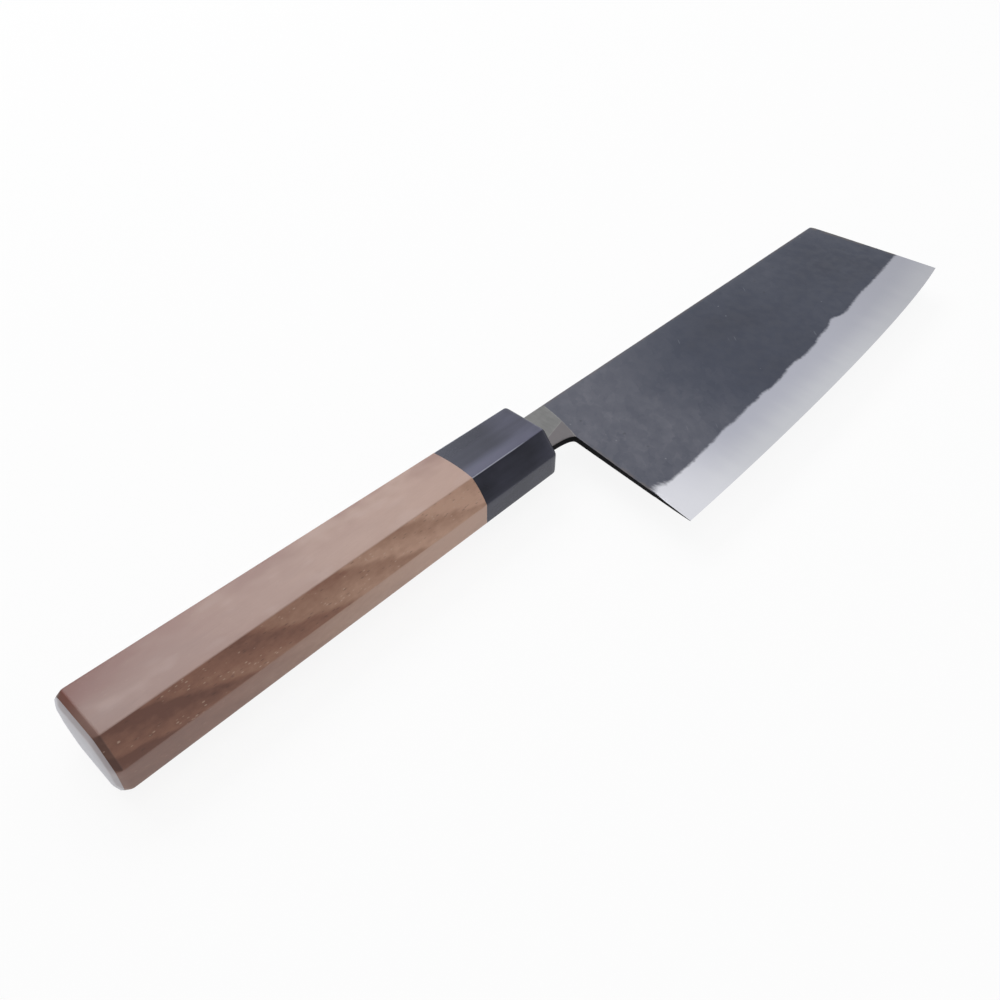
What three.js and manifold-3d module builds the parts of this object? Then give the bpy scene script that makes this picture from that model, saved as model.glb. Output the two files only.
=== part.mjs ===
// Nakiri, a vegetable knife: a three-layer forged blade welded to a tang, which is
// bedded in an octagonal wooden handle with a dark ferrule. Millimetres, +Z up.
//
// The knife lies on its side: +X runs from the butt to the tip, +Y towards the spine
// and +Z out of the blade's upper face. The pieces are drawn from the middle of the
// ferrule's front face, with the blade's middle plane at Z = 0. The whole knife is then
// moved so that the origin is the bottom centre of its box.

import * as THREE from "three";
import { mergeVertices } from "three/addons/utils/BufferGeometryUtils.js";
import Module from "manifold-3d";

const wasm = await Module();
wasm.setup();

// Handle: an octagonal taper from the butt to the ferrule's front face
const HANDLE_LENGTH = 131.8; // wood and ferrule together
const FERRULE_LENGTH = 27.8;
const BUTT_HEIGHT = 25.9; // across the two edge facets, along Y
const BUTT_WIDTH = 20; // across the two side facets, along Z
const BUTT_SIDE_FACET = 15.1;
const BUTT_EDGE_FACET = 6.8;
const FRONT_HEIGHT = 23.5;
const FRONT_WIDTH = 18.1;
const FRONT_SIDE_FACET = 13.5;
const FRONT_EDGE_FACET = 6.3;
const BUTT_CHAMFER_LENGTH = 1.35; // along X
const BUTT_CHAMFER_DEPTH = 0.72;
const BUTT_ROUND_LENGTH = 0.7; // rounded edge between the chamfer and the end face
const BUTT_ROUND_DEPTH = 1.7;
const BUTT_DOME = 0.3; // bulge of the butt's end face
const FERRULE_RIM_RADIUS = 0.9;

// Blade outline, with distances along X from the ferrule's front face
const SPINE_HEIGHT = 6.8; // spine above the handle's middle line, at the weld
const SPINE_DROP = 0.05; // fall of the spine from the weld to the front
const WELD_TOP_GAP = 14.85; // ferrule to the weld at the spine
const HEEL_TOP_GAP = 10.55; // ferrule to the top of the heel, where the weld ends
const HEEL_TOP_DEPTH = 16.4; // top of the heel below the spine
const HEEL_GAP = 5.8; // ferrule to the heel's corner
const HEEL_DEPTH = 57.65; // heel's corner below the spine
const EDGE_LENGTH = 165.8; // heel's corner to the tip, along X
const TIP_RISE = 10.55; // tip above the heel's corner
const FRONT_LEAN = 4.8; // tip ahead of the spine's front end
const SPINE_CORNER_RADIUS = 1;
const EDGE_FLAT_RUN = 53; // reach of the edge's flat stretch in front of the heel
const EDGE_FLAT_RISE = 0.15;
const EDGE_BELLY_RUN = 36; // reach of the edge's rise behind the tip
const EDGE_BELLY_DROP = 6.6;

// Blade thickness
const SPINE_THICKNESS = 2.4; // at the weld
const FRONT_THICKNESS = 1.6; // spine's front end
const BEVEL_THICKNESS = 1.2; // top of the bevel at the heel
const CORE_THICKNESS = 0.5;
const HEEL_BEVEL = 12.5; // width of the ground bevel at the heel
const TIP_BEVEL = 14.5;

// Neck and tang
const NECK_DEPTH = 13.9; // spine to the neck's underside, at the ferrule
const CHOIL_RUN = 8; // reach of the underside's nearly straight stretch from the ferrule
const CHOIL_FALL = 0.2; // fall of the underside over that stretch
const CHOIL_CORNER = 1.5; // reach of the heel's line into the rounded corner
const TANG_THICKNESS = 2.4;
const TANG_LENGTH = 76; // behind the shoulder
const TANG_SHOULDER_HEIGHT = 8.8;
const TANG_END_HEIGHT = 4.6;

// Inside the handle
const MOUTH_DEPTH = 9; // solid front of the ferrule that the neck passes through
const SEAL_DEPTH = 4;
const SEAL_WALL = 0.8;
const BEDDING_WALL = 0.8;
const BEDDING_TAIL = 3; // bedding behind the tang's end
const DOWEL_DIAMETER = 14;
const DOWEL_TAIL = 3; // dowel behind the bedding
const GLUE_GAP = 0.3; // around the dowel and at its ends

// Facet counts
const EDGE_STEPS = 28;
const CORNER_STEPS = 3;
const RIM_STEPS = 4;
const DOME_STEPS = 3;
const CHOIL_STEPS = 10;
const ROUND_STEPS = 16; // along half a circle

// Places that several pieces share
const neckUnderside = SPINE_HEIGHT - NECK_DEPTH;
const shoulderX = -MOUTH_DEPTH;
const tangEndX = shoulderX - TANG_LENGTH;
const beddingEndX = tangEndX - BEDDING_TAIL;
const dowelFrontX = shoulderX - GLUE_GAP;
const dowelEndX = beddingEndX - DOWEL_TAIL;
const boreRadius = DOWEL_DIAMETER / 2 + GLUE_GAP;
const tangHalf = TANG_THICKNESS / 2;
const slotHalfHeight = TANG_SHOULDER_HEIGHT / 2 + BEDDING_WALL;
const slotHalfWidth = tangHalf + BEDDING_WALL;

// Closed geometry from points and triangles, without the triangles that have no area
function closedGeometry(points, triangles) {
  const open = new THREE.BufferGeometry().setFromPoints(points);
  open.setIndex(triangles.flat());
  const merged = mergeVertices(open);
  const index = merged.index.array;
  const kept = [];
  for (let i = 0; i < index.length; i += 3) {
    const [a, b, c] = index.subarray(i, i + 3);
    if (a !== b && b !== c && c !== a) kept.push(a, b, c);
  }
  return merged.setIndex(kept);
}

function solidOf(geometry) {
  const bare = geometry.clone();
  bare.deleteAttribute("normal");
  bare.deleteAttribute("uv");
  const merged = mergeVertices(bare);
  const vertProperties = new Float32Array(merged.attributes.position.array);
  const triVerts = new Uint32Array(merged.index.array);
  return new wasm.Manifold(new wasm.Mesh({ numProp: 3, vertProperties, triVerts }));
}

function geometryOf(solid) {
  const { vertProperties, triVerts } = solid.getMesh();
  const geometry = new THREE.BufferGeometry();
  geometry.setAttribute("position", new THREE.BufferAttribute(vertProperties, 3));
  geometry.setIndex(new THREE.BufferAttribute(triVerts, 1));
  return geometry;
}

function cut(body, ...tools) {
  return geometryOf(tools.reduce((left, tool) => left.subtract(solidOf(tool)), solidOf(body)));
}

function join(first, ...others) {
  return geometryOf(others.reduce((whole, other) => whole.add(solidOf(other)), solidOf(first)));
}

// Outline in the XY plane, from one Z to another
function plate(outline, lowZ, highZ) {
  const depth = highZ - lowZ;
  return new THREE.ExtrudeGeometry(outline, { depth, bevelEnabled: false }).translate(0, 0, lowZ);
}

// Section in the YZ plane, from one X to another
function bar(section, lowX, highX) {
  const options = { depth: highX - lowX, bevelEnabled: false, curveSegments: ROUND_STEPS };
  const turned = new THREE.Matrix4().makeBasis(
    new THREE.Vector3(0, 1, 0),
    new THREE.Vector3(0, 0, 1),
    new THREE.Vector3(1, 0, 0),
  );
  return new THREE.ExtrudeGeometry(section, options).applyMatrix4(turned).translate(lowX, 0, 0);
}

function rectangle(lowU, lowV, highU, highV) {
  const corners = [[lowU, lowV], [highU, lowV], [highU, highV], [lowU, highV]];
  return new THREE.Shape(corners.map(([u, v]) => new THREE.Vector2(u, v)));
}

function circle(radius) {
  return new THREE.Shape().absarc(0, 0, radius, 0, 2 * Math.PI);
}

// Closed solid through rings of points, each in a plane across X, from low X to high X
function loft(rings) {
  const count = rings[0].length;
  const triangles = [];
  const at = (ring, k) => ring * count + (k % count);
  for (let ring = 0; ring < rings.length - 1; ring++) {
    for (let k = 0; k < count; k++) {
      triangles.push([at(ring, k), at(ring, k + 1), at(ring + 1, k + 1)]);
      triangles.push([at(ring, k), at(ring + 1, k + 1), at(ring + 1, k)]);
    }
  }
  const last = rings.length - 1;
  for (let k = 1; k < count - 1; k++) {
    triangles.push([at(0, 0), at(0, k + 1), at(0, k)]);
    triangles.push([at(last, 0), at(last, k), at(last, k + 1)]);
  }
  return closedGeometry(rings.flat(), triangles);
}

// Closed solid between two grids of points with the same rows, from the spine to the edge,
// and the same columns, from the heel to the front
function solidBetween(upper, lower) {
  const lastRow = upper.length - 1;
  const lastColumn = upper[0].length - 1;
  const half = upper.length * upper[0].length;
  const top = (row, column) => row * (lastColumn + 1) + column;
  const under = (row, column) => half + top(row, column);
  const triangles = [];
  const quad = (a, b, c, d) => triangles.push([a, b, c], [a, c, d]);
  for (let row = 0; row < lastRow; row++) {
    for (let column = 0; column < lastColumn; column++) {
      quad(top(row, column), top(row + 1, column), top(row + 1, column + 1), top(row, column + 1));
      quad(
        under(row, column),
        under(row, column + 1),
        under(row + 1, column + 1),
        under(row + 1, column),
      );
    }
    quad(top(row, 0), under(row, 0), under(row + 1, 0), top(row + 1, 0));
    quad(
      top(row, lastColumn),
      top(row + 1, lastColumn),
      under(row + 1, lastColumn),
      under(row, lastColumn),
    );
  }
  for (let column = 0; column < lastColumn; column++) {
    quad(top(0, column), top(0, column + 1), under(0, column + 1), under(0, column));
    quad(
      top(lastRow, column),
      under(lastRow, column),
      under(lastRow, column + 1),
      top(lastRow, column + 1),
    );
  }
  return closedGeometry([...upper.flat(), ...lower.flat()], triangles);
}

// Octagon across the handle at one X, with every facet moved in by an inset
function octagon(x, inset) {
  const towardsFront = 1 + x / HANDLE_LENGTH;
  const half = (butt, front) => THREE.MathUtils.lerp(butt, front, towardsFront) / 2;
  const height = half(BUTT_HEIGHT, FRONT_HEIGHT);
  const width = half(BUTT_WIDTH, FRONT_WIDTH);
  const side = half(BUTT_SIDE_FACET, FRONT_SIDE_FACET);
  const edge = half(BUTT_EDGE_FACET, FRONT_EDGE_FACET);
  const normal = new THREE.Vector2(width - edge, height - side).normalize();
  const reach = normal.x * height + normal.y * edge - inset;
  const innerEdge = (reach - normal.x * (height - inset)) / normal.y;
  const innerSide = (reach - normal.y * (width - inset)) / normal.x;
  const quarter = [[height - inset, innerEdge], [innerSide, width - inset]];
  const turnedQuarter = [...quarter].reverse();
  return [
    ...quarter.map(([y, z]) => new THREE.Vector3(x, y, z)),
    ...turnedQuarter.map(([y, z]) => new THREE.Vector3(x, -y, z)),
    ...quarter.map(([y, z]) => new THREE.Vector3(x, -y, -z)),
    ...turnedQuarter.map(([y, z]) => new THREE.Vector3(x, y, -z)),
  ];
}

// Rings of the ferrule's rounded front rim
function frontRings() {
  return Array.from({ length: RIM_STEPS + 1 }, (_, step) => {
    const angle = (step / RIM_STEPS) * (Math.PI / 2);
    const x = FERRULE_RIM_RADIUS * (Math.sin(angle) - 1);
    return octagon(x, FERRULE_RIM_RADIUS * (1 - Math.cos(angle)));
  });
}

// Rings of the butt's chamfer, its rounded edge and the domed end face, from the chamfer inwards
function buttRings() {
  const faceX = BUTT_DOME - HANDLE_LENGTH;
  const faceInset = BUTT_CHAMFER_DEPTH + BUTT_ROUND_DEPTH;
  const roundStart = new THREE.Vector2(faceX + BUTT_ROUND_LENGTH, BUTT_CHAMFER_DEPTH);
  const round = new THREE.QuadraticBezierCurve(
    roundStart,
    new THREE.Vector2(faceX, BUTT_CHAMFER_DEPTH + BUTT_ROUND_DEPTH / 2),
    new THREE.Vector2(faceX, faceInset),
  );
  const rings = [octagon(roundStart.x + BUTT_CHAMFER_LENGTH, 0)];
  for (const { x, y } of round.getPoints(RIM_STEPS)) rings.push(octagon(x, y));
  const reach = BUTT_WIDTH / 2 - faceInset;
  for (let step = 1; step <= DOME_STEPS; step++) {
    const share = step / (DOME_STEPS + 1);
    const rise = BUTT_DOME * (1 - ((DOME_STEPS - step) / DOME_STEPS) ** 2);
    rings.push(octagon(faceX - rise, faceInset + share * reach));
  }
  return rings;
}

// Lines of the blade's outline
const heel = new THREE.Vector2(HEEL_GAP, SPINE_HEIGHT - HEEL_DEPTH);
const tip = new THREE.Vector2(HEEL_GAP + EDGE_LENGTH, heel.y + TIP_RISE);
const frontTopX = tip.x - FRONT_LEAN;
const edgeCurve = new THREE.CubicBezierCurve(
  heel,
  new THREE.Vector2(heel.x + EDGE_FLAT_RUN, heel.y + EDGE_FLAT_RISE),
  new THREE.Vector2(tip.x - EDGE_BELLY_RUN, tip.y - EDGE_BELLY_DROP),
  tip,
);

function spineY(x) {
  return SPINE_HEIGHT - (SPINE_DROP * (x - WELD_TOP_GAP)) / (frontTopX - WELD_TOP_GAP);
}

function weldX(depth) {
  return WELD_TOP_GAP - ((WELD_TOP_GAP - HEEL_TOP_GAP) * depth) / HEEL_TOP_DEPTH;
}

function frontX(depth) {
  const straight = frontTopX + (FRONT_LEAN * depth) / (spineY(tip.x) - tip.y);
  const shortOfRound = Math.max(SPINE_CORNER_RADIUS - depth, 0);
  return straight - SPINE_CORNER_RADIUS + Math.sqrt(SPINE_CORNER_RADIUS ** 2 - shortOfRound ** 2);
}

// Row of points at one depth below the spine, from the weld to the front
function rowAtDepth(depth) {
  return Array.from({ length: EDGE_STEPS + 1 }, (_, column) => {
    const x = THREE.MathUtils.lerp(weldX(depth), frontX(depth), column / EDGE_STEPS);
    return new THREE.Vector2(x, spineY(x) - depth);
  });
}

// Half the thickness of the forged faces, which are flat and thin towards edge and front
const wedge = (SPINE_THICKNESS - BEVEL_THICKNESS) / 2 / (HEEL_DEPTH - HEEL_BEVEL);
const thinning = (SPINE_THICKNESS - FRONT_THICKNESS) / 2 / (frontTopX - WELD_TOP_GAP);

function neckHalf(y) {
  return SPINE_THICKNESS / 2 - wedge * (SPINE_HEIGHT - y);
}

function faceHalf({ x, y }) {
  return neckHalf(y) - thinning * (x - weldX(SPINE_HEIGHT - y));
}

// Depths of the rows that follow the rounded spine corner, then the top of the heel
const upperDepths = Array.from({ length: CORNER_STEPS + 1 }, (_, step) => {
  return SPINE_CORNER_RADIUS * (1 - Math.cos((step / CORNER_STEPS) * (Math.PI / 2)));
});
const upperRows = [...upperDepths, HEEL_TOP_DEPTH].map(rowAtDepth);
const weldTop = upperRows[0][0];
const heelTop = upperRows.at(-1)[0];

// Bevel lines: its top on the forged face, the line where the core comes out, and the edge
const edgeRow = edgeCurve.getPoints(EDGE_STEPS);
const heelRise = heelTop.clone().sub(heel).normalize();
const frontRise = upperRows.at(-1).at(-1).clone().sub(tip).normalize();
const coreHalf = CORE_THICKNESS / 2;
const bevelTopRow = [];
const coreLineRow = [];
edgeRow.forEach((point, column) => {
  const share = column / EDGE_STEPS;
  const rise = heelRise.clone().lerp(frontRise, share).normalize();
  const width = THREE.MathUtils.lerp(HEEL_BEVEL, TIP_BEVEL, share);
  const bevelTop = point.clone().addScaledVector(rise, width);
  bevelTopRow.push(bevelTop);
  coreLineRow.push(point.clone().lerp(bevelTop, coreHalf / faceHalf(bevelTop)));
});

// Grid of points from flat rows and a rule for their height
function raised(rows, height) {
  return rows.map((row) => row.map((p) => new THREE.Vector3(p.x, p.y, height(p))));
}

function flat(rows, z) {
  return raised(rows, () => z);
}

function coreSteel() {
  const rows = [...upperRows, coreLineRow];
  const edge = flat([edgeRow], 0);
  return solidBetween(
    [...flat(rows, coreHalf), ...edge],
    [...flat(rows, -coreHalf), ...edge],
  );
}

// One of the two iron layers, on the side that the sign gives
function cladding(side) {
  const faceRows = [...upperRows, bevelTopRow];
  const outer = [
    ...raised(faceRows, (p) => side * faceHalf(p)),
    ...flat([coreLineRow], side * coreHalf),
  ];
  const inner = flat([...faceRows, coreLineRow], side * coreHalf);
  return side > 0 ? solidBetween(outer, inner) : solidBetween(inner, outer);
}

// Neck in front of the ferrule: a plate with the blade's wedge section
function neck() {
  const choil = new THREE.CubicBezierCurve(
    new THREE.Vector2(0, neckUnderside),
    new THREE.Vector2(CHOIL_RUN, neckUnderside - CHOIL_FALL),
    heelTop.clone().addScaledVector(heelRise, CHOIL_CORNER),
    heelTop,
  );
  const outline = new THREE.Shape([
    new THREE.Vector2(0, SPINE_HEIGHT),
    ...choil.getPoints(CHOIL_STEPS),
    weldTop,
  ]);
  const geometry = plate(outline, -1, 1); // then thinned to the wedge, corner by corner
  const position = geometry.attributes.position;
  for (let i = 0; i < position.count; i++) {
    position.setZ(i, position.getZ(i) * neckHalf(position.getY(i)));
  }
  return geometry;
}

function tangTaper() {
  const shoulder = TANG_SHOULDER_HEIGHT / 2;
  const end = TANG_END_HEIGHT / 2;
  return [
    new THREE.Vector2(shoulderX, shoulder),
    new THREE.Vector2(tangEndX, end),
    new THREE.Vector2(tangEndX, -end),
    new THREE.Vector2(shoulderX, -shoulder),
  ];
}

function tang() {
  const outline = new THREE.Shape([
    new THREE.Vector2(0, SPINE_HEIGHT),
    new THREE.Vector2(shoulderX, SPINE_HEIGHT),
    ...tangTaper(),
    new THREE.Vector2(shoulderX, neckUnderside),
    new THREE.Vector2(0, neckUnderside),
  ]);
  return join(plate(outline, -tangHalf, tangHalf), neck());
}

function ferrule() {
  const back = octagon(-FERRULE_LENGTH, 0);
  const body = loft([back, ...frontRings()]);
  const overrun = FERRULE_RIM_RADIUS;
  const mouth = bar(mouthSection(), shoulderX - overrun, overrun);
  const bore = bar(circle(boreRadius), -FERRULE_LENGTH - overrun, shoulderX);
  return cut(body, mouth, bore);
}

function mouthSection() {
  return rectangle(
    neckUnderside - SEAL_WALL,
    -tangHalf - SEAL_WALL,
    SPINE_HEIGHT + SEAL_WALL,
    tangHalf + SEAL_WALL,
  );
}

// Ring that closes the ferrule's mouth round the neck
function ferruleSeal() {
  const section = mouthSection();
  section.holes.push(rectangle(neckUnderside, -tangHalf, SPINE_HEIGHT, tangHalf));
  return bar(section, -SEAL_DEPTH, 0);
}

function handleWood() {
  const front = octagon(-FERRULE_LENGTH, 0);
  const body = loft([...buttRings().reverse(), front]);
  const overrun = GLUE_GAP;
  const bore = bar(circle(boreRadius), dowelEndX - GLUE_GAP, -FERRULE_LENGTH + overrun);
  return cut(body, bore);
}

// Round dowel that ties the ferrule to the wood, slotted for the tang
function handleDowel() {
  const section = circle(DOWEL_DIAMETER / 2);
  section.holes.push(rectangle(-slotHalfHeight, -slotHalfWidth, slotHalfHeight, slotHalfWidth));
  return bar(section, dowelEndX, dowelFrontX);
}

// Resin that fills the dowel's slot round the tang
function tangBedding() {
  const block = rectangle(beddingEndX, -slotHalfHeight, dowelFrontX, slotHalfHeight);
  const [shoulder, end] = tangTaper();
  const share = (shoulder.x - dowelFrontX) / (shoulder.x - end.x);
  const mouthHalf = THREE.MathUtils.lerp(shoulder.y, end.y, share);
  const roundTang = new THREE.Shape([
    new THREE.Vector2(dowelFrontX, slotHalfHeight),
    new THREE.Vector2(beddingEndX, slotHalfHeight),
    new THREE.Vector2(beddingEndX, -slotHalfHeight),
    new THREE.Vector2(dowelFrontX, -slotHalfHeight),
    new THREE.Vector2(dowelFrontX, -mouthHalf),
    new THREE.Vector2(end.x, -end.y),
    new THREE.Vector2(end.x, end.y),
    new THREE.Vector2(dowelFrontX, mouthHalf),
  ]);
  return join(
    plate(roundTang, -tangHalf, tangHalf),
    plate(block, tangHalf, slotHalfWidth),
    plate(block, -slotHalfWidth, -tangHalf),
  );
}

// Finishes
const forgeScale = new THREE.MeshStandardMaterial({ color: 0x4c4e5a, roughness: 0.55, metalness: 0.6 });
const groundSteel = new THREE.MeshStandardMaterial({ color: 0xb9bac4, roughness: 0.3, metalness: 1 });
const neckIron = new THREE.MeshStandardMaterial({ color: 0x84837f, roughness: 0.4, metalness: 1 });
const blackHorn = new THREE.MeshStandardMaterial({ color: 0x1d1d21, roughness: 0.25, metalness: 0 });
const walnut = new THREE.MeshStandardMaterial({ color: 0x7d5848, roughness: 0.5, metalness: 0 });
const paleWood = new THREE.MeshStandardMaterial({ color: 0xc8ab80, roughness: 0.7, metalness: 0 });
const resin = new THREE.MeshStandardMaterial({ color: 0xa8905e, roughness: 0.4, metalness: 0 });

const knife = new THREE.Group();

function addPiece(name, geometry, material) {
  const mesh = new THREE.Mesh(geometry, material);
  mesh.name = name;
  knife.add(mesh);
}

addPiece("core_steel", coreSteel(), groundSteel);
addPiece("upper_cladding", cladding(1), forgeScale);
addPiece("lower_cladding", cladding(-1), forgeScale);
addPiece("tang", tang(), neckIron);
addPiece("ferrule", ferrule(), blackHorn);
addPiece("handle_wood", handleWood(), walnut);
addPiece("handle_dowel", handleDowel(), paleWood);
addPiece("tang_bedding", tangBedding(), resin);
addPiece("ferrule_seal", ferruleSeal(), resin);

// Origin at the bottom centre of the knife's box
const box = new THREE.Box3().setFromObject(knife);
const middle = box.getCenter(new THREE.Vector3());
knife.position.set(-middle.x, -middle.y, -box.min.z);

const nakiri = new THREE.Group();
nakiri.add(knife);

export default nakiri;
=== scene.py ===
"""Nakiri knife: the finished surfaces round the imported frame, with floor, light and camera.

Shapes and materials are worked out in millimetres from the middle of the ferrule's front
face, with X to the tip, Y to the spine and Z out of the upper face.
"""
import math

import bmesh
import bpy
import numpy as np
from mathutils import Euler, Matrix, Vector, noise


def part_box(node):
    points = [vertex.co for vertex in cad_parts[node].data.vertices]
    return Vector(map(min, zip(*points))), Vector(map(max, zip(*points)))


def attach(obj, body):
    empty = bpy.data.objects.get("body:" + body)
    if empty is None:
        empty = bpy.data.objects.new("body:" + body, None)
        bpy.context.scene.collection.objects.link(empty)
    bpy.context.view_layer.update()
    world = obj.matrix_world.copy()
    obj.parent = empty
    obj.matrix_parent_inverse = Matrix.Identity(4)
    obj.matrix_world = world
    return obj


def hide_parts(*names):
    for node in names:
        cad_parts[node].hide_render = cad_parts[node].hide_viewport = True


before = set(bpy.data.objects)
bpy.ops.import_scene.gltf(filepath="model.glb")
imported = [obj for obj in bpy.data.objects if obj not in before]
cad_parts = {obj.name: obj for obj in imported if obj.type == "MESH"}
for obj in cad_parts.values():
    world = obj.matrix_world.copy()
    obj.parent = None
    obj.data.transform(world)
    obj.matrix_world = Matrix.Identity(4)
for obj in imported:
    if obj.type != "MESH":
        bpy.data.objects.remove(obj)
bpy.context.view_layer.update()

MM = 0.001

# Knife millimetres in the frame
handle_low, handle_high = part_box("handle_wood")
ferrule_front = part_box("ferrule")[1].x
core_low, core_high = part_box("core_steel")
ORIGIN = Vector((ferrule_front, (handle_low.y + handle_high.y) / 2, (core_low.z + core_high.z) / 2))
TO_MM = Matrix.Scale(1 / MM, 4) @ Matrix.Translation(-ORIGIN)
FROM_MM = TO_MM.inverted()


def box_in_mm(node):
    """A node's lowest and highest corner in knife millimetres."""
    return [TO_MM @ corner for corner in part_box(node)]


def points_in_mm(node):
    """A node's corner points in knife millimetres, one in each row."""
    return np.array([TO_MM @ vertex.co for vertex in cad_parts[node].data.vertices])


# Sizes that the frame gives
dowel_low, dowel_high = box_in_mm("handle_dowel")
seal_low, seal_high = box_in_mm("ferrule_seal")
CORE_HALF = box_in_mm("core_steel")[1].z
BUTT_END = box_in_mm("handle_wood")[0].x
ferrule_stations = points_in_mm("ferrule")[:, 0]
FERRULE_BACK = ferrule_stations.min()
MOUTH_DEPTH = -ferrule_stations[ferrule_stations < seal_low.x].max()
FERRULE_RIM = -ferrule_stations[ferrule_stations > seal_low.x].min()
WELD_TOP = box_in_mm("tang")[1].xy
HEEL_TOP = Vector(min(points_in_mm("tang"), key=lambda point: point[1])[:2])

# Handle details
GLUE_GAP = 0.3
FACET_SETBACK = 0.28  # rounding of the long edges, measured along a facet
BUTT_SETBACK = 1.2  # the same round the butt's end
FRONT_SETBACK = 0.8  # the same round the ferrule's front
MOST_ROUNDED = 0.4  # share of a facet that the rounding of one corner can take
FRONT_ROUNDING = 1.5  # radius of the ferrule's front rim
RIM_ROUNDING = 0.5  # rounding of the line where the butt's chamfer starts
BUTT_DOME = 0.3  # bulge of the end face
SLOPE_BULGE = 0.15  # share of a full rounding that the slope round the end face has
RIM_LEAN = 0.3  # the rim's faces on the edge facets lean up or down by less than this
BORE_MARGIN = 1.0  # rings further behind the bore than this belong to the butt
CORNER_STEPS = 4
FACET_STEPS = 6
ROUND_STEPS = 8
FRONT_STEPS = 6
FLAT_RING = (0.0, 0.0, 0.0, 0.0)
# Forward bow of the ferrule's back edge on a slanting facet, a side facet, a slanting and an edge facet
JOINT_BOWS = (0.22, 0.42, 0.22, 0.0)
HANDLE_STATIONS = 70
FERRULE_STATIONS = 16
SIDE_GRAIN, SANDED_RIM, END_GRAIN = range(3)  # order of the wood's materials on its mesh

# Blade details
EDGE_ROUNDING = 0.22  # spine, front and neck
EDGE_STEPS = 3
ROUND_PROFILE = 0.5
CELL_ALONG = 1.5  # cells that the faces are cut into, so that they can bend
CELL_ACROSS = 3.0
CELL_AT_BEVEL = 0.6
FINE_BELOW, FINE_ABOVE = 2, 3  # reach of the finer cells past the bevel's line
CELL_FINE = 1.0  # on the core and the neck
LUMP_SIZE = 24.0  # hammered unevenness of the forged faces
LUMP_HEIGHT = 0.05
LUMP_LAYER = 40.0  # depth in the noise that a side's lumps are taken from
LUMP_FRACTAL = (1.0, 2.0, 2)  # loss of height and of size with each finer layer, and count of layers
LUMP_FADE = 6.0  # distance from the weld and the bevel over which it sets in
# Places along the blade where the grinding reaches past the bevel's line or stops short,
# each with its reach along the blade and its shift towards the spine
BEVEL_WAVES = [
    (9.6, 2.0, 1.2),
    (23.0, 10.0, -0.6),
    (42.0, 3.0, 0.5),
    (56.0, 8.0, 0.6),
    (64.6, 2.0, 0.6),
    (83.0, 5.0, 0.9),
    (106.0, 7.0, 1.3),
    (115.0, 4.0, 2.1),
    (135.0, 10.0, 0.55),
]
PATCH_BULGE = 0.6  # the ground neck's line bows past the weld
AT_WELD = 0.05  # edges closer to the weld's line than this lie on it
NECK_RISE = 1.0  # the neck's long edges rise by less than this
STEEP = 0.5  # part of a normal from which a face counts as turned that way
UPWARDS = 10  # weight of Y against X when the spine's front corner is looked for
BLADE_FACE, BLACK_WALL = range(2)  # order of the blade's materials on its meshes

# Mesh clean-up
JOIN_DISTANCE = 1e-4
SAME_PLANE = 0.01  # points closer than this count as in one plane or on one line
PLANE_DIGITS = 3
POINT_DIGITS = 4
FLAT_ANGLE = math.radians(0.4)
CREASE_ANGLE = math.radians(8)
SHARP_ANGLE = math.radians(32)
HANDLE_SHARP_ANGLE = math.radians(20)


# Meshes


def cad_copy(node):
    """A node's solid as a bmesh in knife millimetres, with each flat face in one piece."""
    solid = bmesh.new()
    solid.from_mesh(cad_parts[node].data)
    bmesh.ops.transform(solid, matrix=TO_MM, verts=solid.verts)
    bmesh.ops.remove_doubles(solid, verts=solid.verts, dist=JOIN_DISTANCE)
    bmesh.ops.dissolve_limit(solid, angle_limit=FLAT_ANGLE, verts=solid.verts, edges=solid.edges)
    return solid


def round_edges(solid, is_rounded):
    """Rounds the sharp edges that the rule picks."""
    edges = [e for e in solid.edges if e.calc_face_angle(0) > CREASE_ANGLE and is_rounded(e)]
    bmesh.ops.bevel(
        solid,
        geom=edges,
        offset=EDGE_ROUNDING,
        segments=EDGE_STEPS,
        profile=ROUND_PROFILE,
        affect="EDGES",
    )


def slice_up(solid, axis, positions):
    """Cuts the faces at planes across one axis, so that they can bend."""
    across = Vector([float(k == axis) for k in range(3)])
    for position in positions:
        everything = solid.verts[:] + solid.edges[:] + solid.faces[:]
        bmesh.ops.bisect_plane(
            solid, geom=everything, plane_co=across * position, plane_no=across, dist=JOIN_DISTANCE
        )


def add_attribute(solid, name, values):
    """A number for each point of the mesh, which the materials read by name."""
    layer = solid.verts.layers.float.new(name)
    for vertex, value in zip(solid.verts, values):
        vertex[layer] = value


def add_piece(name, solid, node, materials, sharp_angle=SHARP_ANGLE):
    """Puts a finished mesh in the scene, in the place of its CAD node."""
    bmesh.ops.transform(solid, matrix=FROM_MM, verts=solid.verts)
    mesh = bpy.data.meshes.new(name)
    solid.to_mesh(mesh)
    solid.free()
    mesh.shade_smooth()
    mesh.set_sharp_from_angle(angle=sharp_angle)
    for material in materials:
        mesh.materials.append(material)
    piece = bpy.data.objects.new(name, mesh)
    bpy.context.collection.objects.link(piece)
    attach(piece, "root")
    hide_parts(node)


# Handle


def octagon_sizes(x):
    """Half height, edge facet, side facet and width of the ferrule's octagon in the plane at x."""
    points = points_in_mm("ferrule")
    ring = points[np.abs(points[:, 0] - x) < SAME_PLANE]
    height, width = ring[:, 1].max(), ring[:, 2].max()
    edge = ring[ring[:, 1] > height - SAME_PLANE][:, 2].max()
    side = ring[ring[:, 2] > width - SAME_PLANE][:, 1].max()
    return np.array([height, edge, side, width])


back_sizes = octagon_sizes(FERRULE_BACK)
front_sizes = octagon_sizes(-FERRULE_RIM)


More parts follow.
